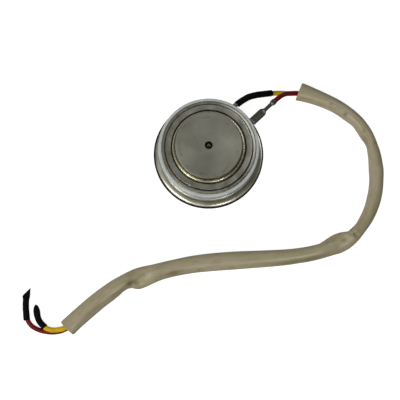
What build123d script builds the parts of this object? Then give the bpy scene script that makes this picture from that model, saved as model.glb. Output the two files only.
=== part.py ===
"""Press-pack thyristor: a disc capsule with a gate lead and an auxiliary cathode lead.

Millimetres, +Z up.  The origin is the centre of the anode contact face, on the capsule's axis.
Each piece is its own solid and is written to parts/ under its own name.
"""
import math
import os

from build123d import *

# ---------------------------------------------------------------- capsule
capsule_height = 26.0
contact_radius = 16.5
pole_shoulder_radius = 18.2
contact_edge_chamfer = 0.3
sheet = 0.5
sheet_bend = 0.45
running_gap = 0.05

centring_hole_radius = 1.75
centring_hole_depth = 3.0
centring_hole_lead_in = 0.25
drill_point_depth = 1.05

# ---------------------------------------------------------------- anode side
anode_lid_bottom = 3.0
rim_radius = 27.7
anode_pole_top = 8.5
skirt_wall_radius = 24.4
skirt_inner_radius = 22.7
skirt_flare_radius = 2.9
seal_ring_width = 1.55
seal_ring_crest = 0.55

# ---------------------------------------------------------------- ceramic
ceramic_bottom = 11.4
ceramic_top = 20.7
ceramic_outer = 25.0
ceramic_inner = 21.5
ceramic_edge = 0.7

# ---------------------------------------------------------------- thyristor element
disc_radius = 19.0
disc_top = 10.5
wafer_radius = 18.4
wafer_bevel = 0.4
wafer_top = 11.1
rubber_outer = 19.4
rubber_bevel = 0.3
rubber_top = 11.4
washer_radius = 15.5
washer_top = 11.5
centring_ring_outer = 21.2
centring_ring_lip = 8.4
centring_ring_top = 12.4

# ---------------------------------------------------------------- cathode side
cathode_pole_bottom = 11.7
flange_top = 22.2
flange_step_radius = 21.35
flange_outer = 23.2

# ---------------------------------------------------------------- gate contact in the pole's bore
gate_bore_radius = 2.6
gate_bore_top = 18.7
guide_bottom = 11.8
guide_top = 12.7
pin_radius = 0.8
pin_point_radius = 0.4
pin_point_top = 11.6
collar_radius = 1.5
collar_bottom = 13.0
collar_top = 13.8
pin_tail_radius = 0.7
pin_tail_top = 16.2
spring_radius = 1.3
spring_wire = 0.2
spring_pitch = 0.95
spring_bottom = 14.05
spring_top = 17.95
seat_bottom = 18.2
seat_wall_bottom = 17.4
seat_wall_inner = 1.8

# ---------------------------------------------------------------- terminals through the ceramic
terminal_height = 16.0
terminal_angle = 43.0
gate_offset = 7.4
tab_offset = -4.4
gate_tube_radius = 1.25
gate_tube_bore = 0.7
gate_tube_inner_end = 19.8
gate_tube_outer_end = 26.2
tab_width = 2.8
tab_thickness = 0.8
tab_inner_end = 20.4
tab_outer_end = 32.0
tab_point = 0.5
strap_width = 2.0
strap_sheet = 0.3
strap_foot = 18.0
strap_bottom = 13.0
strap_lap = 0.4

# ---------------------------------------------------------------- gate wire in the pole's slot
gate_wire_radius = 0.4
gate_wire_height = 13.4
gate_slot_width = 2.4
gate_slot_top = 15.5
gate_slot_overrun = 1.0
gate_wire_bend = 17.6
gate_wire_run_in = 0.6
wire_sleeve_radius = 0.8
wire_sleeve_bore = 0.45
wire_sleeve_from = 3.2
wire_sleeve_to = 14.5

# ---------------------------------------------------------------- push-on receptacle
receptacle_start = 25.5
receptacle_box_end = 33.0
receptacle_width = 3.9
receptacle_thickness = 2.0
receptacle_gap = 0.06
receptacle_slot = 0.8
receptacle_corner = 0.85
neck_end = 34.4
wire_barrel_radius = 0.95
wire_barrel_end = 38.6
insulation_barrel_radius = 1.5
insulation_barrel_end = 41.2
barrel_floor = 0.3

# ---------------------------------------------------------------- leads, caps and sleeve
gate_lead_radius = 1.3
cathode_lead_radius = 1.2
shrink_radius = 1.65
shrink_bore = 1.35
sleeve_radius = 4.0
sleeve_bore = 3.3
cap_radius = 1.65
cap_tip_round = 1.1

sleeve_route = [
    (46.0, 32.6, 4.0), (54.3, 30.3, 4.0), (69.5, 23.0, 4.0), (81.0, 10.5, 4.0),
    (84.7, -6.5, 4.0), (83.5, -23.0, 4.0), (76.0, -38.7, 4.0), (61.5, -47.2, 4.0),
    (45.5, -51.5, 4.0), (28.5, -53.0, 4.0), (12.0, -53.8, 4.0), (-5.5, -55.2, 4.0),
    (-20.0, -58.0, 4.0), (-36.0, -62.2, 4.0), (-47.5, -67.8, 4.0), (-59.2, -76.9, 4.0),
    (-70.3, -87.9, 4.0),
]

gate_lead_route = [
    (14.15, 23.35, 16.0), (17.7, 26.6, 15.9), (23.2, 29.3, 13.2), (29.6, 31.0, 8.9),
    (35.8, 31.9, 4.6), (41.0, 32.0, 2.4), (46.0, 32.4, 2.05),
    (54.3, 30.3, 2.05), (69.8, 23.4, 2.1), (81.8, 10.9, 2.35), (85.9, -6.4, 2.5),
    (84.7, -23.3, 2.6), (76.9, -39.5, 2.6), (62.0, -48.3, 2.6), (45.7, -52.7, 2.6),
    (28.6, -54.2, 2.6), (12.1, -55.0, 2.6), (-5.3, -56.4, 2.6), (-19.7, -59.2, 3.9),
    (-35.8, -62.9, 4.6), (-47.4, -67.9, 4.65), (-59.2, -76.9, 4.6),
    (-65.2, -82.6, 4.6), (-70.2, -87.6, 4.6), (-75.0, -88.8, 4.5), (-79.2, -88.5, 4.1),
    (-81.2, -87.17, 3.34),
]

cathode_lead_route = [
    (31.53, 23.38, 16.0), (34.75, 26.38, 16.0), (38.3, 29.7, 10.9), (42.4, 31.3, 6.3),
    (46.2, 31.7, 4.7), (54.3, 29.9, 4.65), (69.2, 22.6, 4.6), (80.0, 9.9, 4.1),
    (83.3, -6.6, 3.1), (82.1, -22.65, 2.8), (74.95, -37.75, 2.7), (60.9, -45.9, 2.6),
    (45.25, -50.1, 2.6), (28.4, -51.6, 2.6), (11.9, -52.4, 2.6), (-5.7, -53.8, 2.6),
    (-20.3, -56.6, 2.6), (-36.2, -61.6, 2.05), (-47.6, -67.7, 2.0), (-59.2, -76.9, 2.0),
    (-65.2, -82.6, 2.0), (-70.3, -88.2, 2.0), (-76.3, -89.8, 1.6), (-82.6, -89.1, 1.25),
    (-87.4, -87.0, 1.3), (-89.7, -84.3, 1.6),
]

gate_cap_route = [
    (-81.45, -87.0, 3.24), (-83.6, -85.0, 2.5), (-85.0, -82.0, 1.9), (-85.5, -79.0, 1.75),
    (-86.0, -75.7, 1.75),
]
cathode_cap_route = [
    (-90.3, -83.6, 1.7), (-90.7, -80.0, 1.75), (-91.0, -76.5, 1.75), (-90.9, -72.0, 1.75),
    (-90.6, -67.9, 1.7),
]

shrink_start = (12.85, 22.15, 16.03)
shrink_end = (32.45, 31.41, 6.92)


# ---------------------------------------------------------------- helpers
def terminal_plane(offset, distance):
    """Plane across a terminal: X sideways, Y up, Z outwards, at a distance along the terminal."""
    angle = math.radians(terminal_angle)
    outwards = Vector(math.cos(angle), math.sin(angle), 0)
    sideways = Vector(-math.sin(angle), math.cos(angle), 0)
    origin = outwards * distance + sideways * offset + Vector(0, 0, terminal_height)
    return Plane(origin=origin, x_dir=sideways, z_dir=outwards)


def bend_radii(route):
    """The largest easy arc at each inner point: 0.45 of the shorter run over tan of half the turn."""
    points = [Vector(*point) for point in route]
    radii = []
    for before, corner, after in zip(points, points[1:], points[2:]):
        run_in, run_out = corner - before, after - corner
        half_turn = math.radians(run_in.get_angle(run_out)) / 2
        radii.append(0.45 * min(run_in.length, run_out.length) / math.tan(half_turn))
    return radii


def swept_round(route, radii, radius, bore=0.0):
    """A round bar, or a tube where a bore is given, along runs joined by tangent arcs."""
    with BuildPart() as bar:
        with BuildLine() as path:
            FilletPolyline(*route, radius=radii)
        with BuildSketch(Plane(origin=path.line @ 0, z_dir=path.line % 0)):
            Circle(radius)
            if bore:
                Circle(bore, mode=Mode.SUBTRACT)
        sweep()
    length = sum(edge.length for edge in path.line.edges())
    area = math.pi * (radius ** 2 - bore ** 2)
    print(f"  length {length:.1f}  volume over section x length {bar.part.volume / (area * length):.4f}"
          f"  radii {[round(r, 1) for r in radii]}")
    return bar.part


def turned(*outline):
    """A turned solid: (radius, height) points of the half section, spun around the capsule's axis."""
    with BuildPart() as solid:
        with BuildSketch(Plane.XZ):
            with BuildLine():
                Polyline(*outline, close=True)
            make_face()
        revolve(axis=Axis.Z)
    return solid.part


def pressed_sheet(corners, bends):
    """A pressed sheet-metal ring: a centre line of (radius, height) corners, bent and spun."""
    with BuildPart() as ring:
        with BuildSketch(Plane.XZ):
            with BuildLine():
                FilletPolyline(*corners, radius=bends)
            trace(line_width=sheet)
        revolve(axis=Axis.Z)
    return ring.part


def seal_bead(base_height, direction):
    """A rounded braze ring around a contact, standing on the sheet that it seals."""
    inner = contact_radius
    outer = contact_radius + seal_ring_width
    with BuildPart() as bead:
        with BuildSketch(Plane.XZ):
            with BuildLine():
                ThreePointArc((inner, base_height),
                              ((inner + outer) / 2, base_height + direction * seal_ring_crest),
                              (outer, base_height))
                Line((outer, base_height), (inner, base_height))
            make_face()
        revolve(axis=Axis.Z)
    return bead.part


def save(part, name):
    part.label = name
    export_step(part, f"parts/{name}.step")


os.makedirs("parts", exist_ok=True)
lid_top = anode_lid_bottom + sheet

# ---------------------------------------------------------------- anode pole
anode_pole = turned(
    (0, centring_hole_depth + drill_point_depth),
    (centring_hole_radius, centring_hole_depth),
    (centring_hole_radius, centring_hole_lead_in),
    (centring_hole_radius + centring_hole_lead_in, 0),
    (contact_radius - contact_edge_chamfer, 0),
    (contact_radius, contact_edge_chamfer),
    (contact_radius, lid_top),
    (pole_shoulder_radius, lid_top),
    (pole_shoulder_radius, anode_pole_top),
    (0, anode_pole_top),
)
save(anode_pole, "anode_pole")

# ---------------------------------------------------------------- anode lid, skirt and braze ring
with BuildPart() as anode_flange:
    with BuildSketch(Plane.XY.offset(anode_lid_bottom)):
        Circle(rim_radius)
        Circle(contact_radius, mode=Mode.SUBTRACT)
    extrude(amount=sheet)
    round_edges = anode_flange.edges().filter_by(GeomType.CIRCLE)
    lid_edge = round_edges.group_by(SortBy.RADIUS)[-1].sort_by(Axis.Z)[0]
    fillet(lid_edge, 0.4 * sheet)
save(anode_flange.part, "anode_flange")

anode_skirt = pressed_sheet(
    [
        (skirt_inner_radius, ceramic_bottom - sheet / 2),
        (skirt_wall_radius, ceramic_bottom - sheet / 2),
        (skirt_wall_radius, lid_top + sheet / 2),
        (rim_radius, lid_top + sheet / 2),
    ],
    [sheet_bend, skirt_flare_radius],
)
save(anode_skirt, "anode_skirt")
save(seal_bead(anode_lid_bottom, -1), "anode_seal_ring")

# ---------------------------------------------------------------- ceramic ring with its terminal holes
with BuildPart() as ceramic_ring:
    with BuildSketch(Plane.XY.offset(ceramic_bottom)):
        Circle(ceramic_outer)
        Circle(ceramic_inner, mode=Mode.SUBTRACT)
    extrude(amount=ceramic_top - ceramic_bottom)
    outer_edges = ceramic_ring.edges().filter_by(GeomType.CIRCLE).group_by(SortBy.RADIUS)[-1]
    fillet(outer_edges, ceramic_edge)
    with BuildSketch(terminal_plane(gate_offset, gate_tube_inner_end)):
        Circle(gate_tube_radius)
    extrude(amount=gate_tube_outer_end - gate_tube_inner_end, mode=Mode.SUBTRACT)
    with BuildSketch(terminal_plane(tab_offset, tab_inner_end)):
        Rectangle(tab_width, tab_thickness)
    extrude(amount=tab_outer_end - tab_inner_end, mode=Mode.SUBTRACT)
save(ceramic_ring.part, "ceramic_ring")

# ---------------------------------------------------------------- thyristor element, from the anode up
molybdenum_disc = turned(
    (0, anode_pole_top), (disc_radius, anode_pole_top), (disc_radius, disc_top), (0, disc_top),
)
save(molybdenum_disc, "molybdenum_disc")

silicon_wafer = turned(
    (0, disc_top), (wafer_radius, disc_top), (wafer_radius - wafer_bevel, wafer_top), (0, wafer_top),
)
save(silicon_wafer, "silicon_wafer")

edge_rubber = turned(
    (wafer_radius, disc_top), (rubber_outer - wafer_bevel, disc_top), (rubber_outer, disc_top + rubber_bevel),
    (rubber_outer - rubber_bevel, rubber_top), (wafer_radius - wafer_bevel, rubber_top),
    (wafer_radius - wafer_bevel, wafer_top),
)
save(edge_rubber, "edge_rubber")

cathode_washer = turned(
    (gate_bore_radius, wafer_top), (washer_radius, wafer_top),
    (washer_radius, washer_top), (gate_bore_radius, washer_top),
)
save(cathode_washer, "cathode_washer")

centring_ring = turned(
    (pole_shoulder_radius + 2 * running_gap, lid_top),
    (centring_ring_outer, lid_top),
    (centring_ring_outer, centring_ring_top),
    (rubber_outer + 2 * running_gap, centring_ring_top),
    (rubber_outer + 2 * running_gap, centring_ring_lip),
    (pole_shoulder_radius + 2 * running_gap, centring_ring_lip),
)
save(centring_ring, "centring_ring")

# ---------------------------------------------------------------- cathode pole with gate bore and slot
slot_angle = terminal_angle + math.degrees(math.atan2(gate_offset, gate_tube_inner_end))
slot_plane = Plane.XY.rotated((0, 0, slot_angle))

with BuildPart() as cathode_pole:
    with BuildSketch(Plane.XZ):
        with BuildLine():
            Polyline(
                (gate_bore_radius, cathode_pole_bottom),
                (pole_shoulder_radius, cathode_pole_bottom),
                (pole_shoulder_radius, flange_top - sheet),
                (contact_radius, flange_top - sheet),
                (contact_radius, capsule_height - contact_edge_chamfer),
                (contact_radius - contact_edge_chamfer, capsule_height),
                (centring_hole_radius + centring_hole_lead_in, capsule_height),
                (centring_hole_radius, capsule_height - centring_hole_lead_in),
                (centring_hole_radius, capsule_height - centring_hole_depth),
                (0, capsule_height - centring_hole_depth - drill_point_depth),
                (0, gate_bore_top),
                (gate_bore_radius, gate_bore_top),
                close=True,
            )
        make_face()
    revolve(axis=Axis.Z)
    with BuildSketch(slot_plane.offset(cathode_pole_bottom)):
        Rectangle(pole_shoulder_radius + gate_slot_overrun, gate_slot_width, align=(Align.MIN, Align.CENTER))
    extrude(amount=gate_slot_top - cathode_pole_bottom, mode=Mode.SUBTRACT)
save(cathode_pole.part, "cathode_pole")

cathode_flange = pressed_sheet(
    [
        (contact_radius + running_gap, flange_top - sheet / 2),
        (flange_step_radius, flange_top - sheet / 2),
        (flange_step_radius, ceramic_top + sheet / 2),
        (flange_outer, ceramic_top + sheet / 2),
    ],
    [sheet_bend, sheet_bend],
)
save(cathode_flange, "cathode_flange")
save(seal_bead(flange_top, 1), "cathode_seal_ring")

# ---------------------------------------------------------------- gate contact
gate_guide = turned(
    (pin_radius + 2 * running_gap, guide_bottom), (gate_bore_radius, guide_bottom),
    (gate_bore_radius, guide_top), (pin_radius + 2 * running_gap, guide_top),
)
save(gate_guide, "gate_guide")

gate_pin = turned(
    (0, wafer_top), (pin_point_radius, wafer_top), (pin_radius, pin_point_top), (pin_radius, collar_bottom),
    (collar_radius, collar_bottom), (collar_radius, collar_top), (pin_tail_radius, collar_top),
    (pin_tail_radius, pin_tail_top), (0, pin_tail_top),
)
save(gate_pin, "gate_pin")

with BuildPart() as gate_spring:
    with BuildLine() as coil:
        Helix(pitch=spring_pitch, height=spring_top - spring_bottom, radius=spring_radius,
              center=(0, 0, spring_bottom))
    with BuildSketch(Plane(origin=coil.line @ 0, z_dir=coil.line % 0)):
        Circle(spring_wire)
    sweep(is_frenet=True)
save(gate_spring.part, "gate_spring")

gate_spring_seat = turned(
    (0, seat_bottom), (seat_wall_inner, seat_bottom), (seat_wall_inner, seat_wall_bottom),
    (gate_bore_radius, seat_wall_bottom), (gate_bore_radius, gate_bore_top), (0, gate_bore_top),
)
save(gate_spring_seat, "gate_spring_seat")

# ---------------------------------------------------------------- gate tube and its inner wire
with BuildPart() as gate_tube:
    with BuildSketch(terminal_plane(gate_offset, gate_tube_inner_end)):
        Circle(gate_tube_radius)
        Circle(gate_tube_bore, mode=Mode.SUBTRACT)
    extrude(amount=gate_tube_outer_end - gate_tube_inner_end)
save(gate_tube.part, "gate_tube")

slot_x, slot_y = math.cos(math.radians(slot_angle)), math.sin(math.radians(slot_angle))
wire_start = collar_radius + running_gap
gate_wire_route = [
    (wire_start * slot_x, wire_start * slot_y, gate_wire_height),
    (gate_wire_bend * slot_x, gate_wire_bend * slot_y, gate_wire_height),
    tuple(terminal_plane(gate_offset, gate_tube_inner_end - gate_wire_run_in).origin),
    tuple(terminal_plane(gate_offset, gate_tube_outer_end).origin),
]
print("gate_wire")
gate_wire = swept_round(gate_wire_route, bend_radii(gate_wire_route), gate_wire_radius)
save(gate_wire, "gate_wire")

sleeve_plane = Plane(origin=(wire_sleeve_from * slot_x, wire_sleeve_from * slot_y, gate_wire_height),
                     z_dir=(slot_x, slot_y, 0))
with BuildPart() as gate_wire_sleeve:
    with BuildSketch(sleeve_plane):
        Circle(wire_sleeve_radius)
        Circle(wire_sleeve_bore, mode=Mode.SUBTRACT)
    extrude(amount=wire_sleeve_to - wire_sleeve_from)
save(gate_wire_sleeve.part, "gate_wire_sleeve")

# ---------------------------------------------------------------- cathode tab and its inner strap
with BuildPart() as cathode_tab:
    with BuildSketch(terminal_plane(tab_offset, tab_inner_end)):
        Rectangle(tab_width, tab_thickness)
    extrude(amount=tab_outer_end - tab_inner_end)
    tip = cathode_tab.faces().sort_by(Axis((0, 0, 0), terminal_plane(0, 0).z_dir))[-1]
    chamfer(tip.edges().filter_by(Axis.Z), tab_point)
save(cathode_tab.part, "cathode_tab")

strap_top = terminal_height - tab_thickness / 2
with BuildPart() as cathode_strap:
    with BuildSketch(terminal_plane(tab_offset, strap_foot)):
        with Locations((0, (strap_top + strap_bottom) / 2 - terminal_height)):
            Rectangle(strap_width, strap_top - strap_bottom)
    extrude(amount=strap_sheet)
    with BuildSketch(terminal_plane(tab_offset, strap_foot)):
        with Locations((0, strap_top - strap_sheet / 2 - terminal_height)):
            Rectangle(strap_width, strap_sheet)
    extrude(amount=tab_inner_end + strap_lap - strap_foot)
save(cathode_strap.part, "cathode_strap")

# ---------------------------------------------------------------- push-on receptacle
with BuildPart() as terminal_receptacle:
    with BuildSketch(terminal_plane(tab_offset, receptacle_start)):
        RectangleRounded(receptacle_width, receptacle_thickness, receptacle_corner)
        Rectangle(tab_width + 2 * receptacle_gap, tab_thickness + 2 * receptacle_gap, mode=Mode.SUBTRACT)
        with Locations((0, -receptacle_thickness / 2)):
            Rectangle(receptacle_slot, receptacle_thickness, mode=Mode.SUBTRACT)
    extrude(amount=receptacle_box_end - receptacle_start)
    with BuildSketch(terminal_plane(tab_offset, receptacle_box_end)):
        RectangleRounded(receptacle_width, receptacle_thickness, receptacle_corner)
    with BuildSketch(terminal_plane(tab_offset, neck_end)):
        Circle(wire_barrel_radius)
    loft()
    with BuildSketch(terminal_plane(tab_offset, neck_end)):
        Circle(wire_barrel_radius)
    extrude(amount=wire_barrel_end - neck_end)
    with BuildSketch(terminal_plane(tab_offset, wire_barrel_end)):
        Circle(insulation_barrel_radius)
    extrude(amount=insulation_barrel_end - wire_barrel_end)
    with BuildSketch(terminal_plane(tab_offset, wire_barrel_end + barrel_floor)):
        Circle(cathode_lead_radius + running_gap)
    extrude(amount=insulation_barrel_end - wire_barrel_end, mode=Mode.SUBTRACT)
save(terminal_receptacle.part, "terminal_receptacle")

# ---------------------------------------------------------------- leads, sleeve and black covers
print("gate_lead")
gate_lead_bends = bend_radii(gate_lead_route)
save(swept_round(gate_lead_route, gate_lead_bends, gate_lead_radius), "gate_lead")

print("cathode_lead")
save(swept_round(cathode_lead_route, bend_radii(cathode_lead_route), cathode_lead_radius), "cathode_lead")

print("lead_sleeve")
save(swept_round(sleeve_route, bend_radii(sleeve_route), sleeve_radius, sleeve_bore), "lead_sleeve")

print("gate_heat_shrink")
shrink_route = [shrink_start] + gate_lead_route[1:4] + [shrink_end]
save(swept_round(shrink_route, gate_lead_bends[:3], shrink_radius, shrink_bore), "gate_heat_shrink")

for cap_name, cap_route in (("gate_end_cap", gate_cap_route), ("cathode_end_cap", cathode_cap_route)):
    print(cap_name)
    with BuildPart() as cap:
        add(swept_round(cap_route, bend_radii(cap_route), cap_radius))
        tip_edge = cap.edges().filter_by(GeomType.CIRCLE).sort_by(Axis.Y)[-1]
        fillet(tip_edge, cap_tip_round)
    save(cap.part, cap_name)
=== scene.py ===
"""Looks of a press-pack thyristor: a disc capsule, its gate and cathode leads and their sleeve.

Metres, +Z up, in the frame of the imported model.  The capsule's axis is Z and it stands on z = 0.
"""

import math

import bmesh
import bpy
from mathutils import Matrix, Vector, noise


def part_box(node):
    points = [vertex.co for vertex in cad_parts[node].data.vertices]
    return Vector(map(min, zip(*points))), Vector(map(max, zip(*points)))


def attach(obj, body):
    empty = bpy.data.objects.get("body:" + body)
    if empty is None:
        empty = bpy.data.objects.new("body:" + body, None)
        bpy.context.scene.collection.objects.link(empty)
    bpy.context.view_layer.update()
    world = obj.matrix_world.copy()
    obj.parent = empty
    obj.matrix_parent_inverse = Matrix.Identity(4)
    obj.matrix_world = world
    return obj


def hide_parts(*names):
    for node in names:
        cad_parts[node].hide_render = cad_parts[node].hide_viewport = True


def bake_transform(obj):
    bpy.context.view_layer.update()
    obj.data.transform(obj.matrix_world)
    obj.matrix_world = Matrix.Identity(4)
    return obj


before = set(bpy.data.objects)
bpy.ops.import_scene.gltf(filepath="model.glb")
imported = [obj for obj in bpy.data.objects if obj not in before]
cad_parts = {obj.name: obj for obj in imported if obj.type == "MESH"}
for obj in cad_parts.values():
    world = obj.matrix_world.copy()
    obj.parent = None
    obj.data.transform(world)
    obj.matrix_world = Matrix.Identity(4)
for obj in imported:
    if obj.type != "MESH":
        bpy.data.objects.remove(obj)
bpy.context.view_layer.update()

mm = 0.001
up = Vector((0, 0, 1))

# ---------------------------------------------------------------- the two terminals in the ceramic
terminal_angle = math.radians(43.0)
terminal_height = 0.0160
terminal_outwards = Vector((math.cos(terminal_angle), math.sin(terminal_angle), 0))
terminal_sideways = Vector((-math.sin(terminal_angle), math.cos(terminal_angle), 0))
gate_offset = 0.0074
tab_offset = -0.0044
ceramic_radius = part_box("ceramic_ring")[1].x

# ---------------------------------------------------------------- the capsule's rings, as radii
contact_edge = 0.0165
hole_floor_edge = 0.0011
hole_edge = 0.00195
worn_ring = (0.0139, 0.0150)
flange_inner = 0.01655
groove = 0.01842
groove_half_width = 0.00034
groove_depth = 0.00040
shoulder = 0.02125
shoulder_bend = 0.00040
flange_foot = 0.02195
flange_edge = 0.02328
skirt_top = 0.02493
rim_line = (0.0269, 0.0300)

# ---------------------------------------------------------------- leads, caps and sleeve
gate_lead_radius = 0.0013
cathode_lead_radius = 0.0012
sleeve_radius = 0.0040
sleeve_wall = 0.0007
least_sleeve_half_height = 0.0019
mouth_slant = 0.105
mouth_slant_reach = 0.006
shrink_radius = 0.00165
shrink_wall = 0.0003

sleeve_route = [
    (0.0460, 0.0326, 0.0040), (0.0543, 0.0303, 0.0040), (0.0695, 0.0230, 0.0040),
    (0.0810, 0.0105, 0.0040), (0.0847, -0.0065, 0.0040), (0.0835, -0.0230, 0.0040),
    (0.0760, -0.0387, 0.0040), (0.0615, -0.0472, 0.0040), (0.0455, -0.0515, 0.0040),
    (0.0285, -0.0530, 0.0040), (0.0120, -0.0538, 0.0040), (-0.0055, -0.0552, 0.0040),
    (-0.0200, -0.0580, 0.0040), (-0.0360, -0.0622, 0.0040), (-0.0475, -0.0678, 0.0040),
    (-0.0592, -0.0769, 0.0040), (-0.0703, -0.0879, 0.0040),
]

gate_lead_route = [
    (0.01415, 0.02335, 0.0160), (0.0179, 0.0262, 0.0159), (0.0235, 0.0286, 0.0132),
    (0.0297, 0.0304, 0.0089), (0.0358, 0.0318, 0.0046), (0.0410, 0.0320, 0.0024),
    (0.0460, 0.0324, 0.00205), (0.0543, 0.0303, 0.00205), (0.0698, 0.0234, 0.0021),
    (0.0818, 0.0109, 0.00235), (0.0859, -0.0064, 0.0025), (0.0847, -0.0233, 0.0026),
    (0.0769, -0.0395, 0.0026), (0.0620, -0.0483, 0.0026), (0.0457, -0.0527, 0.0026),
    (0.0286, -0.0542, 0.0026), (0.0121, -0.0550, 0.0026), (-0.0053, -0.0564, 0.0026),
    (-0.0197, -0.0592, 0.0039), (-0.0358, -0.0629, 0.0046), (-0.0474, -0.0679, 0.00465),
    (-0.0592, -0.0769, 0.0046), (-0.0652, -0.0826, 0.0046), (-0.0702, -0.0876, 0.0046),
    (-0.0750, -0.0888, 0.0045), (-0.0792, -0.0885, 0.0041), (-0.0812, -0.08717, 0.00334),
]

cathode_lead_route = [
    (0.03153, 0.02338, 0.0160), (0.03475, 0.02638, 0.0160), (0.0383, 0.0297, 0.0109),
    (0.0424, 0.0313, 0.0063), (0.0462, 0.0317, 0.0047), (0.0543, 0.0299, 0.00465),
    (0.0692, 0.0226, 0.0046), (0.0800, 0.0099, 0.0041), (0.0833, -0.0066, 0.0031),
    (0.0821, -0.02265, 0.0028), (0.07495, -0.03775, 0.0027), (0.0609, -0.0459, 0.0026),
    (0.04525, -0.0501, 0.0026), (0.0284, -0.0516, 0.0026), (0.0119, -0.0524, 0.0026),
    (-0.0057, -0.0538, 0.0026), (-0.0203, -0.0566, 0.0026), (-0.0362, -0.0616, 0.00205),
    (-0.0476, -0.0677, 0.0020), (-0.0592, -0.0769, 0.0020), (-0.0652, -0.0826, 0.0020),
    (-0.0703, -0.0882, 0.0020), (-0.0763, -0.0898, 0.0016), (-0.0826, -0.0891, 0.00125),
    (-0.0873, -0.0871, 0.0013), (-0.0896, -0.0845, 0.0016), (-0.0903, -0.0824, 0.0017),
]

shrink_route = [
    (0.0112, 0.0206, 0.0160), *gate_lead_route[1:4], (0.0318, 0.0310, 0.0074),
]
gate_cap_route = [
    (-0.0806, -0.0876, 0.0036), (-0.0836, -0.0850, 0.0025), (-0.0850, -0.0820, 0.0019),
    (-0.0855, -0.0790, 0.00175), (-0.0860, -0.0757, 0.00175),
]
cathode_cap_route = [
    (-0.0903, -0.0836, 0.0017), (-0.0907, -0.0800, 0.00175), (-0.0910, -0.0765, 0.00175),
    (-0.0909, -0.0720, 0.00175), (-0.0906, -0.0672, 0.0017),
]

# Distance along the sleeve, its reach to the right and its reach to the left, mm
sleeve_shape = [
    (0, 4.5, 5.0), (3, 4.3, 4.7), (6, 4.1, 4.3), (10, 3.9, 3.9), (18, 3.65, 3.5), (27, 3.6, 3.4),
    (30, 3.4, 3.45), (33.5, 3.0, 3.45), (39, 3.35, 3.4), (42, 3.35, 3.4), (45, 2.75, 3.3),
    (48, 2.4, 3.3), (51, 2.7, 3.6), (54, 2.9, 3.8), (57, 3.2, 3.9), (61, 3.4, 4.1), (66, 3.3, 3.9),
    (75, 3.3, 3.95), (81, 3.1, 3.8), (87, 3.0, 3.6), (90, 2.75, 3.5), (93, 2.3, 3.7), (96, 2.1, 4.2),
    (98, 2.6, 4.55), (100, 3.5, 4.9), (103, 4.5, 5.2), (106, 4.8, 5.2), (109, 4.4, 4.75),
    (112, 3.7, 4.5), (115, 3.15, 4.4), (120, 3.25, 4.35), (127, 3.5, 4.15), (136, 3.8, 4.3),
    (147, 4.15, 4.45), (160, 4.35, 4.7), (170, 4.3, 4.7), (180, 4.15, 4.5), (189, 3.95, 4.45),
    (195, 3.95, 4.6), (199, 4.0, 5.05), (204, 4.45, 5.8), (207.5, 4.6, 6.0), (210, 4.4, 5.4),
    (212.5, 4.15, 4.0), (214.5, 4.0, 3.6), (217, 3.95, 3.75), (220, 3.95, 4.4), (225, 3.85, 4.85),
    (232, 3.95, 4.85), (240, 4.1, 4.7), (247, 4.3, 4.5), (250.2, 4.4, 4.6), (251.2, 4.1, 4.2),
]

# Folds in the sleeve's top: depth, distance along, lean, length, offset to the left and width, mm
sleeve_folds = [
    (1.0, 97.3, -0.5, 0.9, 0.2, 3.2), (1.1, 211.45, 0.35, 1.6, 3.4, 2.2), (0.35, 204.0, 0.0, 4.0, 3.2, 1.8),
]

# The worst dark patches on the sleeve, which are stains, painted shade in the folds near 94.5 to 96.8 and at
# 211.5, and darker streaks along its left edge from 120 on: distance along, offset to the left, length,
# width, mm, and strength
sleeve_stains_and_shade = [
    (17.7, -1.3, 0.9, 0.5, 0.8), (23.3, -1.7, 1.8, 0.5, 0.35), (26.9, -1.7, 1.1, 0.7, 1.0),
    (40.2, -1.1, 1.0, 0.7, 0.6), (45.5, -2.3, 4.0, 0.8, 0.5), (47.8, 1.2, 0.9, 0.5, 0.7),
    (96.8, 0.7, 0.7, 2.0, 1.0), (94.5, 0.9, 1.4, 0.9, 0.4), (102.5, 0.3, 1.3, 1.0, 0.55),
    (120.0, 3.3, 9.0, 0.9, 0.6), (135.0, 3.4, 9.0, 0.9, 0.35), (190.0, 2.6, 7.0, 1.2, 0.45),
    (211.5, 2.0, 2.2, 1.1, 0.9), (220.0, 3.0, 6.0, 0.9, 0.5), (236.0, 2.6, 9.0, 0.9, 0.45),
]

# A place on each cap's cut and the direction that is cut away
gate_cap_cut = Vector((-0.0811, -0.0874, 0.0)), Vector((0.70, -0.71, 0)).normalized()
cathode_cap_cut = Vector((-0.0928, -0.0714, 0.0)), Vector((-0.70, 0.715, 0)).normalized()


# ---------------------------------------------------------------- numbers along a line
def eased(table, place):
    """A smooth reading of a table whose rows start with a place: no overshoot between two rows."""
    if place <= table[0][0]:
        return table[0][1:]
    for before, after in zip(table, table[1:]):
        if place <= after[0]:
            break
    else:
        return table[-1][1:]
    index = table.index(before)
    width = after[0] - before[0]
    share = (place - before[0]) / width
    values = []
    for column in range(1, len(before)):
        rise = after[column] - before[column]
        slopes = []
        for row in (index, index + 1):
            steps = [
                (b[column] - a[column]) / (b[0] - a[0])
                for a, b in zip(table[max(row - 1, 0):row + 1], table[row:row + 2])
                if b[0] > a[0]
            ]
            same_way = len(steps) == 2 and steps[0] * steps[1] > 0
            slopes.append(2 * steps[0] * steps[1] / (steps[0] + steps[1]) if same_way else 0.0)
        hermite = share * share * (3 - 2 * share)
        start = share * (1 - share) ** 2 * slopes[0] * width
        end = share * share * (share - 1) * slopes[1] * width
        values.append(before[column] + rise * hermite + start + end)
    return values


def bell(distance, width):
    """1 at no distance, falling smoothly to nothing over a few widths."""
    return math.exp(-(distance / width) ** 2)


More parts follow.
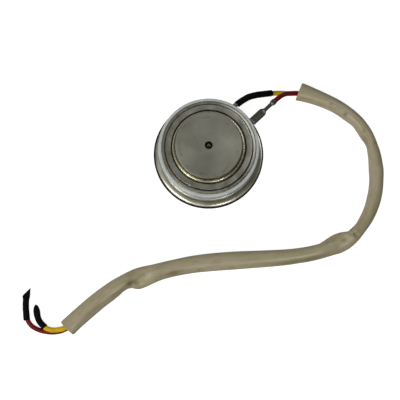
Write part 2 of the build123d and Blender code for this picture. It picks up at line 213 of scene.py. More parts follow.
# ---------------------------------------------------------------- pieces
def finished(name, bm, sharp_angle=40.0):
    """A shaded object from a bmesh, with its place in its mesh."""
    mesh = bpy.data.meshes.new(name)
    bm.to_mesh(mesh)
    bm.free()
    mesh.shade_smooth()
    mesh.set_sharp_from_angle(angle=math.radians(sharp_angle))
    piece = bpy.data.objects.new(name, mesh)
    bpy.context.scene.collection.objects.link(piece)
    return piece


def line_of(route, fineness):
    """The points of a route's smooth NURBS line, without a bevel."""
    curve = bpy.data.curves.new("route", "CURVE")
    curve.dimensions = "3D"
    curve.resolution_u = fineness
    spline = curve.splines.new("NURBS")
    spline.points.add(len(route) - 1)
    for point, place in zip(spline.points, route):
        point.co = (*place, 1.0)
    spline.order_u = 3
    spline.use_endpoint_u = True
    holder = bpy.data.objects.new("route", curve)
    mesh = bpy.data.meshes.new_from_object(holder)
    line = [vert.co.copy() for vert in mesh.vertices]
    bpy.data.meshes.remove(mesh)
    bpy.data.curves.remove(curve)
    return line


def stations(line):
    """(distance, place, direction) at each point of a line."""
    distance = 0.0
    for index, place in enumerate(line):
        before = line[max(index - 1, 0)]
        after = line[min(index + 1, len(line) - 1)]
        if index:
            distance += (place - before).length
        yield distance, place, (after - before).normalized()


def ring_edges(verts):
    """The edges of one ring of points."""
    return list({edge for vert in verts for edge in vert.link_edges})


def skinned(line, segments, section, cap_start=False, cap_end=False):
    """A skin of rings along a line.  section(distance, cos, sin) gives a point's reach to the left and up.

    The layer "straight" keeps each point's place as if the line ran straight, for patterns along it.
    """
    bm = bmesh.new()
    straight = bm.verts.layers.float_vector.new("straight")
    rings = []
    for distance, place, ahead in stations(line):
        left = up.cross(ahead).normalized()
        above = ahead.cross(left)
        verts = bmesh.ops.create_circle(bm, segments=segments, radius=1.0)["verts"]
        rings.append(ring_edges(verts))
        for vert in verts:
            across, height = section(distance, vert.co.x, vert.co.y)
            vert[straight] = (distance, across, height)
            vert.co = place + left * across + above * height
    for near, far in zip(rings, rings[1:]):
        bmesh.ops.bridge_loops(bm, edges=near + far)
    if cap_start:
        bmesh.ops.edgenet_fill(bm, edges=rings[0])
    if cap_end:
        bmesh.ops.edgenet_fill(bm, edges=rings[-1])
    bmesh.ops.recalc_face_normals(bm, faces=bm.faces)
    return bm


def add_wall(piece, thickness):
    """Turns a skin into a wall that stands inside it."""
    wall = piece.modifiers.new("wall", "SOLIDIFY")
    wall.thickness = thickness
    wall.offset = -1.0
    wall.use_even_offset = True


def soften_edges(piece, width, angle):
    """Rounds the edges that are sharper than an angle."""
    bevel = piece.modifiers.new("soft_edges", "BEVEL")
    bevel.width = width
    bevel.segments = 2
    bevel.limit_method = "ANGLE"
    bevel.angle_limit = math.radians(angle)


def round_lead(name, route, radius, fineness):
    """A round insulated wire along its route, very slightly uneven, and the line that it follows."""
    line = line_of(route, fineness)
    unevenness, wave = 0.012, 0.006

    def section(distance, cos, sin):
        reach = radius * (1 + unevenness * noise.noise(Vector((distance / wave, cos, sin))))
        return reach * cos, reach * sin

    return finished(name, skinned(line, 24, section, cap_start=True, cap_end=True)), line


def sleeve_half_height(half_width):
    """Where the sleeve is wide it is low, by half as much as a constant girth would ask."""
    same_girth = math.sqrt(max(2 * sleeve_radius ** 2 - half_width ** 2, least_sleeve_half_height ** 2))
    return (same_girth + sleeve_radius) / 2


def sleeve_section(distance, cos, sin):
    """The sleeve's section: fuller below the middle, where it lies, with folds and faint waves on top."""
    right, left = (value * mm for value in eased(sleeve_shape, distance / mm))
    half_height = sleeve_half_height((right + left) / 2)
    across = (left if cos > 0 else right) * cos
    height = half_height * (sin if sin > 0 else -abs(sin) ** 0.85)
    along = distance / mm
    offset = across / mm
    relief = 0.06 * noise.noise(Vector((along / 5.0, offset / 2.4, 0.0)))
    for depth, place, lean, length, side, width in sleeve_folds:
        relief -= depth * bell(along - place - lean * offset, length) * bell(offset - side, width)
    height += relief * mm * max(sin, 0.0)
    return across, height + half_height - sleeve_route[0][2]


def make_sleeve():
    """The sleeve over both leads, with a slanted mouth and its stains and painted fold shade as a layer."""
    line = line_of(sleeve_route, 26)
    bm = skinned(line, 48, sleeve_section)
    straight = bm.verts.layers.float_vector["straight"]
    stains_and_fold_shade = bm.verts.layers.float.new("stains_and_fold_shade")
    # below this height, in mm, the sleeve has no stains and no painted fold shade
    underside = -2.5
    mouth_ahead = (line[1] - line[0]).normalized()
    for vert in bm.verts:
        along, offset, height = (value / mm for value in vert[straight])
        vert.co += mouth_ahead * (mouth_slant * offset * bell(along, mouth_slant_reach / mm) * mm)
        shade = 0.0
        if height > underside:
            for place, side, length, width, strength in sleeve_stains_and_shade:
                shade += strength * bell(along - place, length) * bell(offset - side, width)
        vert[stains_and_fold_shade] = min(shade, 1.0)
    sleeve = finished("sleeve_tube", bm, 60.0)
    add_wall(sleeve, sleeve_wall)
    soften_edges(sleeve, 0.12 * mm, 70.0)
    return sleeve, line


def make_heat_shrink():
    """A black shrunk tube over the gate joint, cut square at both ends."""
    line = line_of(shrink_route, 24)

    def section(distance, cos, sin):
        lump = 0.03 * noise.noise(Vector((distance / 0.0035, 1.5 * cos, 1.5 * sin)))
        reach = shrink_radius * (1 + lump)
        return reach * cos, reach * sin

    bm = skinned(line, 32, section)
    start = terminal_outwards * (ceramic_radius + 0.0010)
    everything = bm.verts[:] + bm.edges[:] + bm.faces[:]
    bmesh.ops.bisect_plane(bm, geom=everything, plane_co=start, plane_no=terminal_outwards, clear_inner=True)
    shrink = finished("gate_shrink_tube", bm, 60.0)
    add_wall(shrink, shrink_wall)
    soften_edges(shrink, 0.06 * mm, 60.0)
    return shrink


def cut_off(bm, place, outwards):
    """Cuts a closed skin by a plane, drops what lies outwards of it and closes the cut."""
    everything = bm.verts[:] + bm.edges[:] + bm.faces[:]
    cut = bmesh.ops.bisect_plane(bm, geom=everything, plane_co=place, plane_no=outwards, clear_outer=True)
    rim = [item for item in cut["geom_cut"] if isinstance(item, bmesh.types.BMEdge)]
    bmesh.ops.edgenet_fill(bm, edges=rim)
    bmesh.ops.recalc_face_normals(bm, faces=bm.faces)


def make_gate_cap():
    """A black cap shrunk onto the gate lead's end, drawn in to a rounded point."""
    line = line_of(gate_cap_route, 20)
    total = sum((b - a).length for a, b in zip(line, line[1:])) / mm
    # distance and radius, mm
    outline = [
        (0.0, 1.6), (total - 6.2, 1.6), (total - 4.6, 1.72), (total - 3.2, 1.66), (total - 1.6, 1.3),
        (total - 0.6, 0.8), (total, 0.12),
    ]

    def section(distance, cos, sin):
        reach, = eased(outline, distance / mm)
        reach *= mm * (1 + 0.02 * noise.noise(Vector((distance / 0.003, cos, sin))))
        return reach * cos, reach * sin

    bm = skinned(line, 32, section, cap_start=True, cap_end=True)
    cut_off(bm, *gate_cap_cut)
    return finished("gate_cap_cover", bm)


def make_cathode_cap():
    """A black tube shrunk onto the cathode lead's end, pinched flat at its tip and cut at a slant."""
    line = line_of(cathode_cap_route, 24)
    # distance, half width and half height, mm
    outline = [
        (0.0, 1.65, 1.65), (2.0, 1.65, 1.65), (9.0, 1.6, 1.6), (10.3, 1.62, 1.5), (11.6, 1.85, 0.95),
        (12.8, 1.95, 0.5), (16.5, 1.85, 0.4),
    ]

    def section(distance, cos, sin):
        half_width, half_height = eased(outline, distance / mm)
        lump = 1 + 0.02 * noise.noise(Vector((distance / 0.003, cos, sin)))
        return half_width * lump * mm * cos, half_height * lump * mm * sin

    bm = skinned(line, 32, section, cap_start=True, cap_end=True)
    cut_off(bm, *cathode_cap_cut)
    return finished("cathode_cap_cover", bm)


def terminal_point(offset, distance, height=0.0):
    """A place beside the capsule's axis by an offset, and outwards from it by a distance."""
    return terminal_outwards * distance + terminal_sideways * offset + up * (terminal_height + height)


def make_receptacle():
    """A push-on receptacle formed from one strip: a curled box, a trough, a wire crimp and a collar crimp."""
    # distance outwards, half width and half height in mm, and squareness of the section
    outline = [
        (25.5, 2.04, 1.08, 5.0), (26.0, 1.98, 1.0, 5.0), (31.6, 1.98, 1.0, 5.0), (32.3, 1.98, 1.12, 4.0),
        (33.0, 1.85, 1.1, 3.4), (33.8, 1.3, 1.0, 2.6), (34.5, 0.98, 0.96, 2.2), (36.0, 0.94, 0.94, 2.2),
        (38.2, 0.96, 0.95, 2.2), (38.8, 1.08, 1.05, 2.1), (39.2, 1.44, 1.42, 2.1), (40.9, 1.48, 1.46, 2.1),
        (41.2, 1.44, 1.44, 2.1),
    ]
    begin, stride, steps = outline[0][0], 0.2, 79
    narrow_slot_from, half_slot, half_narrow_slot = 33.0, 0.4 * mm, 0.12 * mm
    line = [terminal_point(tab_offset, (begin + stride * step) * mm) for step in range(steps)]

    def section(distance, cos, sin):
        half_width, half_height, square = eased(outline, distance / mm + begin)
        across = math.copysign(abs(cos) ** (2 / square), cos) * half_width
        height = math.copysign(abs(sin) ** (2 / square), sin) * half_height
        return across * mm, height * mm

    bm = skinned(line, 48, section)
    straight = bm.verts.layers.float_vector["straight"]
    slot = []
    for face in bm.faces:
        middle = sum((vert[straight] for vert in face.verts), Vector()) / len(face.verts)
        reach = half_slot if middle.x / mm + begin < narrow_slot_from else half_narrow_slot
        if middle.z < 0 and abs(middle.y) < reach:
            slot.append(face)
    bmesh.ops.delete(bm, geom=slot, context="FACES")
    shell = finished("receptacle_shell", bm, 50.0)
    add_wall(shell, 0.32 * mm)
    soften_edges(shell, 0.05 * mm, 50.0)
    return shell


def make_strands():
    """The bare strands of the cathode lead, seen between its two crimps."""
    bm = bmesh.new()
    strand_radius = 0.16 * mm
    ring_radius = 0.34 * mm
    twist_per_step = 0.16
    places = [(0.0, 0.0)]
    for turn in range(6):
        angle = turn * math.pi / 3
        places.append((ring_radius * math.cos(angle), ring_radius * math.sin(angle)))
    start, steps, stride = 34.2 * mm, 26, 0.22 * mm
    for across, height in places:
        rings = []
        for step in range(steps):
            twist = Matrix.Rotation(twist_per_step * step, 2)
            side, rise = twist @ Vector((across, height))
            centre = terminal_point(tab_offset + side, start + stride * step, rise)
            turn = Matrix((terminal_sideways, up, terminal_outwards)).transposed().to_4x4()
            place = Matrix.Translation(centre) @ turn
            verts = bmesh.ops.create_circle(bm, segments=8, radius=strand_radius, matrix=place)["verts"]
            rings.append(ring_edges(verts))
        for near, far in zip(rings, rings[1:]):
            bmesh.ops.bridge_loops(bm, edges=near + far)
        for end in (rings[0], rings[-1]):
            bmesh.ops.edgenet_fill(bm, edges=end)
    bmesh.ops.recalc_face_normals(bm, faces=bm.faces)
    return finished("cathode_strands", bm)


def turned_ring(outline, steps=256):
    """A ring spun around the capsule's axis from a closed outline of (radius, height) points."""
    bm = bmesh.new()
    verts = [bm.verts.new((radius, 0.0, height)) for radius, height in outline]
    edges = [bm.edges.new(pair) for pair in zip(verts, verts[1:] + verts[:1])]
    bmesh.ops.spin(
        bm, geom=verts + edges, axis=(0, 0, 1), cent=(0, 0, 0), angle=math.tau, steps=steps, use_merge=True)
    bmesh.ops.remove_doubles(bm, verts=bm.verts, dist=1e-7)
    bmesh.ops.recalc_face_normals(bm, faces=bm.faces)
    return bm


def arc(centre, radius, start, end, steps):
    """Points of an arc in a section, from one angle to another in degrees."""
    points = []
    for step in range(steps + 1):
        angle = math.radians(start + (end - start) * step / steps)
        points.append((centre[0] + radius * math.cos(angle), centre[1] + radius * math.sin(angle)))
    return points


def make_flange():
    """The thin cathode flange: a pressed groove around the contact, a crowned land and a step down."""
    low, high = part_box("cathode_flange")
    outer, bottom, top = high.x, low.z, high.z
    sheet, tight_bend, edge_round, crown = 0.0005, 0.0003, 0.00012, 0.00001
    upper = [(flange_inner, top), (groove - groove_half_width, top)]
    upper += arc((groove, top), groove_half_width, 180, 360, 8)[1:-1]
    upper = [(r, top - (top - h) * groove_depth / groove_half_width) for r, h in upper]
    upper += [(groove + groove_half_width, top)]
    upper += [(0.0190, top + crown), (0.0200, top + 2 * crown), (0.0210, top + crown)]
    upper += arc((shoulder, top - shoulder_bend), shoulder_bend, 90, 0, 6)
    upper += arc((flange_foot, bottom + sheet + tight_bend), tight_bend, 180, 270, 5)
    upper += arc((outer - edge_round, bottom + sheet - edge_round), edge_round, 90, 0, 3)
    lower = [(outer, bottom), (0.0212, bottom)]
    lower += arc((0.02085, top - sheet - tight_bend), tight_bend, 0, 90, 4)
    lower += [(flange_inner, top - sheet)]
    return finished("cathode_flange_sheet", turned_ring(upper + lower), 35.0)


def make_braze(name, radius, height, wire, unevenness, seed):
    """A thin bead of braze around the axis, thicker in some places than in others."""
    bm = turned_ring(arc((radius, height), wire, 0, 360, 10)[:-1], 480)
    for vert in bm.verts:
        angle = math.atan2(vert.co.y, vert.co.x)
        ring = Vector((math.cos(angle), math.sin(angle), 0.0))
        core = ring * radius + up * height
        swell = noise.noise(ring * 26 + Vector((0, 0, seed)))
        swell += 0.6 * noise.noise(ring * 70 + Vector((seed, 0, 0)))
        vert.co = core + (vert.co - core) * (1 + unevenness * swell)
    return finished(name, bm)


def make_collar(name, offset, half_width, half_height, wire):
    """A fillet of braze around a terminal where it comes out of the ceramic."""
    bm = bmesh.new()
    steps = 40
    rings = []
    for step in range(steps):
        angle = math.tau * step / steps
        direction = Vector((math.cos(angle), math.sin(angle)))
        across, height = direction.x * half_width, direction.y * half_height
        out = math.sqrt(ceramic_radius ** 2 - (offset + across) ** 2)
        centre = terminal_point(offset + across, out, height)
        outward = terminal_sideways * direction.x + up * direction.y
        turn = Matrix((terminal_outwards, outward, terminal_outwards.cross(outward))).transposed().to_4x4()
        verts = bmesh.ops.create_circle(
            bm, segments=10, radius=wire, matrix=Matrix.Translation(centre) @ turn)["verts"]
        rings.append(ring_edges(verts))
    for near, far in zip(rings, rings[1:] + rings[:1]):
        bmesh.ops.bridge_loops(bm, edges=near + far)
    bmesh.ops.recalc_face_normals(bm, faces=bm.faces)
    return finished(name, bm)


# ---------------------------------------------------------------- finishes
def linear(red, green, blue):
    """A display colour of 0 to 255 as light."""
    return [((c / 255 + 0.055) / 1.055) ** 2.4 if c > 10 else c / 255 / 12.92 for c in (red, green, blue)]


def new_finish(name, colour, roughness, metallic=0.0, **others):
    """A material with one surface; others are more of its sockets, with _ for a space."""
    material = bpy.data.materials.new(name)
    material.use_nodes = True
    sockets = material.node_tree.nodes["Principled BSDF"].inputs
    sockets["Base Color"].default_value = (*colour, 1.0)
    sockets["Roughness"].default_value = roughness
    sockets["Metallic"].default_value = metallic
    for socket, value in others.items():
        sockets[socket.replace("_", " ")].default_value = value
    return material


def add_node(material, kind, **inputs):
    """A node in a material or in the world, with its inputs linked to sockets or set to values."""
    node = material.node_tree.nodes.new(kind)
    for name, value in inputs.items():
        socket = node.inputs[name.replace("_", " ")]
        if isinstance(value, bpy.types.NodeSocket):
            material.node_tree.links.new(value, socket)
        else:
            socket.default_value = value
    return node


def place_of(material, stretch=(1, 1, 1), attribute=None):
    """Object coordinates, or an attribute's, scaled along each axis."""
    if attribute:
        source = add_node(material, "ShaderNodeAttribute")
        source.attribute_name = attribute
        vector = source.outputs["Vector"]
    else:
        vector = add_node(material, "ShaderNodeTexCoord").outputs["Object"]
    return add_node(material, "ShaderNodeMapping", Vector=vector, Scale=stretch).outputs["Vector"]


def mottle(material, place, size, detail=3.0, roughness=0.55, distortion=0.0):
    """Noise with patches of about a size in metres."""
    return add_node(material, "ShaderNodeTexNoise", Vector=place, Scale=1 / size, Detail=detail,
                    Roughness=roughness, Distortion=distortion).outputs["Fac"]


def between(material, value, low, high, to_low=0.0, to_high=1.0):
    """A value's range mapped to another, held at both ends."""
    node = add_node(material, "ShaderNodeMapRange", Value=value)
    node.inputs["From Min"].default_value = low
    node.inputs["From Max"].default_value = high
    node.inputs["To Min"].default_value = to_low
    node.inputs["To Max"].default_value = to_high
    return node.outputs["Result"]


def colour_mix(material, share, first, second):
    """One colour, or colour socket, laid over another by a share.

    The mix node's inputs 0, 6 and 7 are its share and its two colours, and output 2 is its colour.
    """
    node = material.node_tree.nodes.new("ShaderNodeMix")
    node.data_type = "RGBA"
    links = material.node_tree.links
    for index, value in ((0, share), (6, first), (7, second)):
        if isinstance(value, bpy.types.NodeSocket):
            links.new(value, node.inputs[index])
        else:
            node.inputs[index].default_value = value if index == 0 else (*value, 1.0)
    return node.outputs[2]


def arithmetic(material, operation, first, second):
    """Two values, or sockets, put together by an operation."""
    node = material.node_tree.nodes.new("ShaderNodeMath")
    node.operation = operation
    for index, value in ((0, first), (1, second)):
        if isinstance(value, bpy.types.NodeSocket):
            material.node_tree.links.new(value, node.inputs[index])
        else:
            node.inputs[index].default_value = value
    return node.outputs[0]


def paint(material, socket, value):
    """Feeds a value into one of the surface's sockets."""
    shader = material.node_tree.nodes["Principled BSDF"]
    material.node_tree.links.new(value, shader.inputs[socket])


def roughen(material, height, depth):
    """Raises the surface by a height of 0 to 1 times a depth in metres."""
    node = add_node(material, "ShaderNodeBump", Strength=1.0, Distance=depth, Height=height)
    paint(material, "Normal", node.outputs["Normal"])


def radius_from_axis(material):
    """The distance from the capsule's axis."""
    flat = place_of(material, (1, 1, 0))
    node = material.node_tree.nodes.new("ShaderNodeVectorMath")
    node.operation = "LENGTH"
    material.node_tree.links.new(flat, node.inputs[0])
    return node.outputs["Value"]


def ring_mask(material, inner, outer, soft):
    """1 between two radii, falling softly to 0 outside them, with a slightly uneven outline."""
    wander = between(material, mottle(material, place_of(material), 0.0015), 0.3, 0.7, -soft, soft)
    radius = arithmetic(material, "ADD", radius_from_axis(material), wander)
    inside = between(material, radius, inner - soft, inner + soft)
    outside = between(material, radius, outer - soft, outer + soft, 1.0, 0.0)
    return arithmetic(material, "MULTIPLY", inside, outside)


def turning_lines(material, spacing):
    """Fine concentric lines of about a spacing, as a lathe or a press leaves them."""
    radius = radius_from_axis(material)
    along = add_node(material, "ShaderNodeCombineXYZ", X=radius).outputs["Vector"]
    return mottle(material, along, spacing, 2.0)


def make_contact_metal():
    """Lapped nickel on copper: fine grain, faint smudges, a worn ring, and painted shade on its edge and in
    its hole.
    """
    material = new_finish("lapped_nickel_on_copper", linear(196, 196, 182), 0.4, 1.0)
    place = place_of(material)
    smudge = mottle(material, place, 0.009, 4.0, 0.6, 0.6)
    cloud = mottle(material, place, 0.020, 2.0)
    share = between(material, smudge, 0.35, 0.7)
    base = colour_mix(material, share, linear(180, 179, 164), linear(198, 198, 184))
    patches = between(material, mottle(material, place, 0.004, 3.0), 0.5, 0.62, 0.0, 0.35)
    worn = arithmetic(material, "MULTIPLY", ring_mask(material, *worn_ring, 0.0006), patches)
    base = colour_mix(material, worn, base, linear(96, 92, 76))
    # painted shade: the face darkens towards its outer edge and down the pole's side wall
    edge = between(material, radius_from_axis(material), contact_edge - 0.0002, contact_edge, 0.0, 0.4)
    base = colour_mix(material, edge, base, linear(48, 44, 34))
    # painted shade inside the centre hole
    hole_painted_shade = ring_mask(material, hole_floor_edge, hole_edge, 0.0001)
    paint(material, "Base Color", colour_mix(material, hole_painted_shade, base, linear(30, 27, 16)))
    paint(material, "Roughness", between(material, cloud, 0.3, 0.7, 0.34, 0.46))
    roughen(material, mottle(material, place, 0.00035, 5.0, 0.7), 0.000012)
    return material


def make_sheet_metal(name, painted_shade_rings):
    """Nickel-plated pressed sheet with faint turning lines, dull patches and dark rings of painted shade.

    Each ring is its inner and outer radius and how dark it is.
    """
    material = new_finish(name, linear(206, 200, 180), 0.3, 1.0)
    place = place_of(material)
    patch = mottle(material, place, 0.006, 4.0, 0.6)
    share = between(material, patch, 0.3, 0.7)
    base = colour_mix(material, share, linear(190, 188, 172), linear(211, 210, 198))
    for inner, outer, darkness in painted_shade_rings:
        ring = ring_mask(material, inner, outer, 0.00008)
        share = arithmetic(material, "MULTIPLY", ring, darkness)
        # each ring is painted shade, darkening the metal towards near-black
        base = colour_mix(material, share, base, linear(34, 30, 18))
    paint(material, "Base Color", base)
    paint(material, "Roughness", between(material, patch, 0.3, 0.7, 0.24, 0.38))
    roughen(material, turning_lines(material, 0.00022), 0.00001)
    return material


def make_braze_metal(name, colour, roughness, bumps):
    """Braze or wire: bumps of a size in metres, and duller where it is tarnished."""
    material = new_finish(name, colour, roughness, 1.0)
    place = place_of(material)
    tarnish = mottle(material, place, 0.0016, 4.0, 0.65)
    dull = [channel * 0.55 for channel in colour]
    paint(material, "Base Color", colour_mix(material, between(material, tarnish, 0.4, 0.75), colour, dull))
    paint(material, "Roughness", between(material, tarnish, 0.3, 0.7, roughness, roughness + 0.18))
    roughen(material, mottle(material, place, bumps, 3.0), 0.00005)
    return material


def make_ceramic():
    """White alumina under a clear glaze that pools a little unevenly."""
    material = new_finish("glazed_alumina", linear(214, 222, 228), 0.3, Coat_Weight=0.6, Coat_Roughness=0.08)
    place = place_of(material)
    cloud = mottle(material, place, 0.008, 3.0)
    paint(material, "Base Color", colour_mix(
        material, between(material, cloud, 0.3, 0.7), linear(197, 205, 206), linear(215, 221, 220)))
    paint(material, "Roughness", between(material, cloud, 0.3, 0.7, 0.22, 0.34))
    roughen(material, mottle(material, place, 0.0026, 2.0), 0.00003)
    return material


def make_insulation(name, colour, dark):
    """Smooth PVC on a lead, with faint handling marks."""
    material = new_finish(name, colour, 0.36, Specular_IOR_Level=0.2)
    place = place_of(material, (0.35, 1, 1), "straight")
    marks = mottle(material, place, 0.0022, 4.0, 0.6)
    marked = colour_mix(material, between(material, marks, 0.45, 0.8), colour, dark)
    paint(material, "Base Color", marked)
    paint(material, "Roughness", between(material, marks, 0.3, 0.7, 0.3, 0.46))
    roughen(material, mottle(material, place, 0.0007, 3.0), 0.00001)
    return material


def make_black_tube():
    """Shrunk polyolefin: matt black with faint wrinkles along it."""
    material = new_finish("black_shrunk_tube", linear(5, 5, 5), 0.6, Specular_IOR_Level=0.1)
    place = place_of(material, (0.4, 1, 1), "straight")
    wrinkle = mottle(material, place, 0.0012, 4.0, 0.6)
    paint(material, "Base Color", colour_mix(
        material, between(material, wrinkle, 0.4, 0.75), linear(4, 4, 4), linear(12, 12, 12)))
    paint(material, "Roughness", between(material, wrinkle, 0.3, 0.7, 0.45, 0.65))
    roughen(material, wrinkle, 0.00006)
    return material


def make_sleeve_rubber():
    """Aged beige sleeving: mottled olive and pink greys, brown veins, stains, and painted shade darkening the
    folds.
    """
    material = new_finish(
        "aged_beige_sleeving", linear(178, 168, 134), 0.42, Coat_Weight=0.35, Coat_Roughness=0.3)
    place = place_of(material, (0.5, 1, 1), "straight")
    broad = mottle(material, place, 0.010, 3.0, 0.6, 0.4)
    tint = mottle(material, place, 0.0045, 3.0, 0.6)
    share = between(material, broad, 0.35, 0.65)
    base = colour_mix(material, share, linear(172, 165, 130), linear(182, 169, 142))
    share = between(material, tint, 0.55, 0.8, 0.0, 0.7)
    base = colour_mix(material, share, base, linear(146, 136, 96))
    # patches under a colour: how much they stretch along the sleeve, size, detail, roughness, distortion,
    # the noise's range that they show in, how strong they are and their colour
    overlays = [
        (0.22, 0.0024, 4.0, 0.65, 0.5, (0.52, 0.72), 0.55, (138, 120, 82)),
        (0.3, 0.0036, 3.0, 0.6, 0.0, (0.56, 0.74), 0.6, (196, 188, 160)),
        (0.5, 0.0016, 4.0, 0.7, 0.0, (0.60, 0.76), 0.45, (128, 108, 72)),
    ]
    for stretch, size, detail, coarse, distortion, shown, strength, colour in overlays:
        stretched = place_of(material, (stretch, 1, 1), "straight")
        pattern = mottle(material, stretched, size, detail, coarse, distortion)
        share = between(material, pattern, *shown, 0.0, strength)
        base = colour_mix(material, share, base, linear(*colour))
    stains_and_fold_shade = add_node(material, "ShaderNodeAttribute")
    stains_and_fold_shade.attribute_name = "stains_and_fold_shade"
    rough_edge = between(material, tint, 0.3, 0.7, 0.7, 1.15)
    stain_and_shade_share = arithmetic(material, "MULTIPLY", stains_and_fold_shade.outputs["Fac"], rough_edge)
    # dark brown for the stains and for the painted shade in the folds
    base = colour_mix(material, arithmetic(material, "MINIMUM", stain_and_shade_share, 0.9), base, linear(92, 72, 40))
    paint(material, "Base Color", base)
    paint(material, "Roughness", between(material, broad, 0.3, 0.7, 0.36, 0.52))
    roughen(material, mottle(material, place, 0.0012, 4.0, 0.6), 0.00003)
    return material


def make_tinned_brass():
    """Tinned brass strip, grey with tarnish."""
    material = new_finish("tinned_brass_strip", linear(112, 114, 106), 0.38, 1.0)
    place = place_of(material)
    tarnish = mottle(material, place, 0.0018, 4.0, 0.6)
    paint(material, "Base Color", colour_mix(
        material, between(material, tarnish, 0.4, 0.75), linear(124, 127, 119), linear(84, 84, 68)))
    paint(material, "Roughness", between(material, tarnish, 0.3, 0.7, 0.22, 0.36))
    roughen(material, mottle(material, place, 0.0005, 3.0), 0.00002)
    return material


def make_plain_inner(name, colour, roughness, metallic, grain):
    """An inner part's finish: a little cloudiness and a fine grain."""
    material = new_finish(name, colour, roughness, metallic)
    place = place_of(material)
    cloud = mottle(material, place, 0.004, 3.0)
    darker = [channel * 0.8 for channel in colour]
    paint(material, "Base Color", colour_mix(material, between(material, cloud, 0.35, 0.7), colour, darker))
    roughen(material, mottle(material, place, grain, 3.0), 0.00001)
    return material


def dress(piece, material):
    """Gives a piece its only material, in one material slot."""
    piece.data.materials.clear()
    piece.data.materials.append(material)


def dress_node(name, material):
    """Gives a CAD node's slots one material."""
    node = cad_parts[name]
    for slot in node.material_slots:
        slot.material = material


contact_metal = make_contact_metal()
# the rim's outer edge gets a ring of near-black painted shade
sheet_metal = make_sheet_metal("nickel_plated_sheet", [(*rim_line, 0.95)])
# painted shade in the corner beside the contact, in the groove, on the step and in the corner beside the
# ceramic
flange_metal = make_sheet_metal("nickel_plated_flange", [
    (0.0160, 0.01670, 0.5), (groove - groove_half_width, groove + 0.00030, 0.95), (0.02138, 0.02205, 0.95),
    (0.02298, 0.02318, 0.6),
])
ring_braze = make_braze_metal("bright_ring_braze", linear(222, 216, 190), 0.2, 0.0011)
dull_braze = make_braze_metal("dull_edge_braze", linear(150, 142, 112), 0.32, 0.0006)
ceramic = make_ceramic()
yellow = make_insulation("yellow_lead_insulation", linear(234, 194, 12), linear(204, 156, 6))
red = make_insulation("red_lead_insulation", linear(128, 8, 16), linear(84, 4, 8))
black = make_black_tube()
sleeving = make_sleeve_rubber()
tinned = make_tinned_brass()
copper_strands = make_braze_metal("tinned_copper_strands", linear(190, 176, 150), 0.3, 0.0005)

for node_name in ("cathode_pole", "anode_pole"):
    dress_node(node_name, contact_metal)
for node_name in ("anode_flange", "anode_skirt"):
    dress_node(node_name, sheet_metal)
for node_name in ("cathode_seal_ring", "anode_seal_ring"):
    dress_node(node_name, ring_braze)
dress_node("ceramic_ring", ceramic)
dress_node("gate_tube", contact_metal)
dress_node("cathode_tab", tinned)
# each inner finish: its colour, roughness, metallic, grain and CAD nodes
inner_finishes = {
    "molybdenum_grey": (linear(150, 150, 154), 0.4, 1.0, 0.0006, ("molybdenum_disc", "cathode_washer")),
    "silicon_dark": (linear(60, 62, 70), 0.15, 0.6, 0.002, ("silicon_wafer",)),
    "white_silicone_rubber": (linear(222, 220, 212), 0.6, 0.0, 0.0008, ("edge_rubber",)),
    "white_ptfe": (linear(235, 235, 230), 0.5, 0.0, 0.0008,
                   ("centring_ring", "gate_guide", "gate_spring_seat", "gate_wire_sleeve")),
    "silver_wire": (linear(214, 212, 204), 0.25, 1.0, 0.0005, ("gate_pin", "gate_wire", "cathode_strap")),
    "spring_steel": (linear(140, 140, 142), 0.3, 1.0, 0.0004, ("gate_spring",)),
}
for finish_name, (colour, roughness, metallic, grain, node_names) in inner_finishes.items():
    inner = make_plain_inner(finish_name, colour, roughness, metallic, grain)
    for node_name in node_names:
        dress_node(node_name, inner)

# ---------------------------------------------------------------- camera
# above the object and a little in front of it, tilted by ten degrees
camera_data = bpy.data.cameras.new("camera")
camera_data.sensor_width = 36.0
camera_data.lens = 124.65
camera = bpy.data.objects.new("camera", camera_data)
camera.location = (-0.00431, -0.14422, 0.68937)
camera.rotation_euler = (math.radians(10.0), 0.0, 0.0)
bpy.context.scene.collection.objects.link(camera)
bpy.context.scene.camera = camera

# ---------------------------------------------------------------- leads and sleeve
gate_lead, gate_line = round_lead("gate_lead_wire", gate_lead_route, gate_lead_radius, 16)
dress(gate_lead, yellow)
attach(gate_lead, "housing")
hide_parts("gate_lead")

cathode_lead, cathode_line = round_lead("cathode_lead_wire", cathode_lead_route, cathode_lead_radius, 16)
dress(cathode_lead, red)
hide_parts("cathode_lead")
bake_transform(cathode_lead)

sleeve, sleeve_line = make_sleeve()
dress(sleeve, sleeving)
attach(sleeve, "housing")
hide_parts("lead_sleeve")

shrink = make_heat_shrink()
gate_cap = make_gate_cap()
cathode_cap = make_cathode_cap()
covers = ((shrink, "gate_heat_shrink"), (gate_cap, "gate_end_cap"), (cathode_cap, "cathode_end_cap"))
for cover, node_name in covers:
    dress(cover, black)
    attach(cover, "housing")
    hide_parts(node_name)

# ---------------------------------------------------------------- receptacle and capsule details
receptacle = make_receptacle()
dress(receptacle, tinned)
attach(receptacle, "cathode_terminal")
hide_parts("terminal_receptacle")

strands = make_strands()
dress(strands, copper_strands)
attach(strands, "cathode_terminal")

flange = make_flange()
dress(flange, flange_metal)
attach(flange, "housing")
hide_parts("cathode_flange")

flange_braze = make_braze("cathode_flange_braze", flange_edge, 0.02082, 0.00022, 0.75, 3.0)
skirt_braze = make_braze("anode_skirt_braze", skirt_top, 0.01142, 0.00012, 0.5, 8.0)
gate_collar = make_collar("gate_tube_braze", gate_offset, 0.0013, 0.0013, 0.00018)
tab_collar = make_collar("cathode_tab_braze", tab_offset, 0.00145, 0.00045, 0.00015)
for bead in (flange_braze, skirt_braze, gate_collar, tab_collar):
    dress(bead, dull_braze)
    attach(bead, "housing")

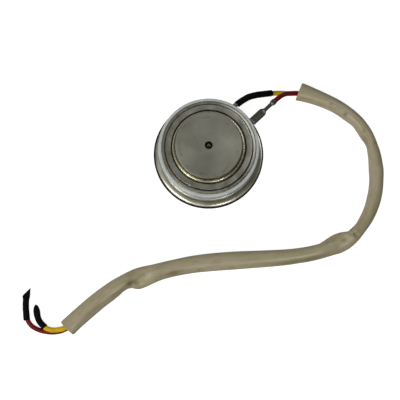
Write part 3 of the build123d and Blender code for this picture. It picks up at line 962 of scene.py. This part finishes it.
# ---------------------------------------------------------------- floor, light and world
def make_floor():
    """A pale studio bowl: a flat floor whose far edge curves up behind the object."""
    bm = bmesh.new()
    flat, rise = 1.6, 1.4
    # the hub's small hole is filled at the end
    hub = 0.0005
    outline = [(hub, 0.0), (0.4, 0.0), (0.9, 0.0)]
    outline += [(radius, height + rise) for radius, height in arc((flat, 0.0), rise, -90, 0, 12)]
    verts = [bm.verts.new((radius, 0.0, height)) for radius, height in outline]
    edges = [bm.edges.new(pair) for pair in zip(verts, verts[1:])]
    bmesh.ops.spin(
        bm, geom=verts + edges, axis=(0, 0, 1), cent=(0, 0, 0), angle=math.tau, steps=64, use_merge=True)
    bmesh.ops.remove_doubles(bm, verts=bm.verts, dist=1e-6)
    bmesh.ops.holes_fill(bm, edges=bm.edges, sides=80)
    floor = finished("floor", bm)
    paper = new_finish("white_paper", (0.8, 0.8, 0.8), 0.9)
    sockets = paper.node_tree.nodes["Principled BSDF"].inputs
    sockets["Emission Color"].default_value = (1, 1, 1, 1)
    sockets["Emission Strength"].default_value = 0.80
    dress(floor, paper)
    floor.visible_diffuse = False
    floor.visible_glossy = False
    return floor


def softbox(name, azimuth, elevation, size, power, tint):
    """An area light that looks at the capsule; azimuth turns from +X towards +Y."""
    distance = 0.9
    light = bpy.data.lights.new(name, "AREA")
    light.shape = "DISK"
    light.size = size
    light.energy = power
    light.color = tint
    turn, rise = math.radians(azimuth), math.radians(elevation)
    aim = Vector((math.cos(turn) * math.cos(rise), math.sin(turn) * math.cos(rise), math.sin(rise)))
    lamp = bpy.data.objects.new(name, light)
    lamp.location = aim * distance
    lamp.rotation_euler = aim.to_track_quat("Z", "Y").to_euler()
    bpy.context.scene.collection.objects.link(lamp)


def make_world():
    """A room that is bright around and below, greyer overhead and darker to the right."""
    world = bpy.data.worlds.new("room")
    world.use_nodes = True
    bpy.context.scene.world = world
    direction = add_node(world, "ShaderNodeTexCoord").outputs["Generated"]
    parts = add_node(world, "ShaderNodeSeparateXYZ", Vector=direction).outputs
    height = between(world, parts["Z"], 0.0, 0.9, 0.34, 0.135)
    side = between(world, parts["X"], -1.0, 1.0, 1.7, 0.3)
    background = world.node_tree.nodes["Background"]
    world.node_tree.links.new(arithmetic(world, "MULTIPLY", height, side), background.inputs["Strength"])
    background.inputs["Color"].default_value = (1.0, 0.995, 0.95, 1)


make_floor()
make_world()
softbox("key", 222, 48, 0.45, 2.6, (1.0, 0.98, 0.93))
softbox("window", 291, 52, 0.16, 1.1, (1.0, 0.98, 0.94))
softbox("back", 44, 56, 0.35, 0.9, (0.98, 0.99, 1.0))
bpy.context.scene.view_settings.view_transform = "Standard"
